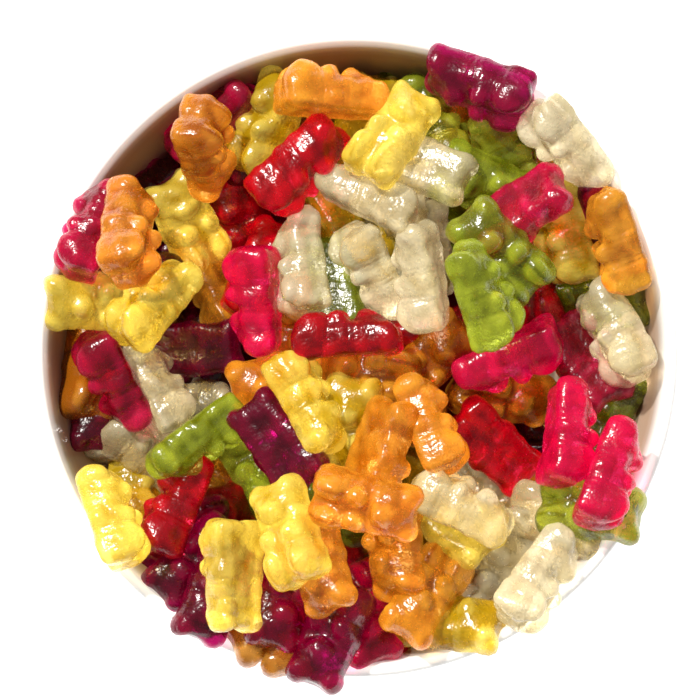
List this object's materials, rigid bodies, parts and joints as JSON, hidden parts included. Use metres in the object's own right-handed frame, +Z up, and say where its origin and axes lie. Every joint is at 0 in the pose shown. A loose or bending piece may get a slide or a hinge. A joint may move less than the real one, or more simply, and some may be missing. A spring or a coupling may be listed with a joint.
{
  "type": "bowl of jelly sweets",
  "caption": "Round white china bowl heaped above its rim with bear-shaped jelly sweets in mixed colours, some hanging over the edge.",
  "frame": {"origin": "middle of the bounding box at the table, within a millimetre of the bowl's axis at the underside of its foot", "axes": "+Z up along the bowl's axis; +Y towards the top of the view from above"},
  "size_m": [0.128, 0.1293, 0.0802],
  "materials": {
    "white_glaze": "glossy white glaze",
    "jelly": "cloudy translucent jelly with a soft gloss, in seven colours"
  },
  "bodies": {
    "root": {"bowl": "white_glaze", "bear_heap": "jelly"}
  },
  "joints": []
}
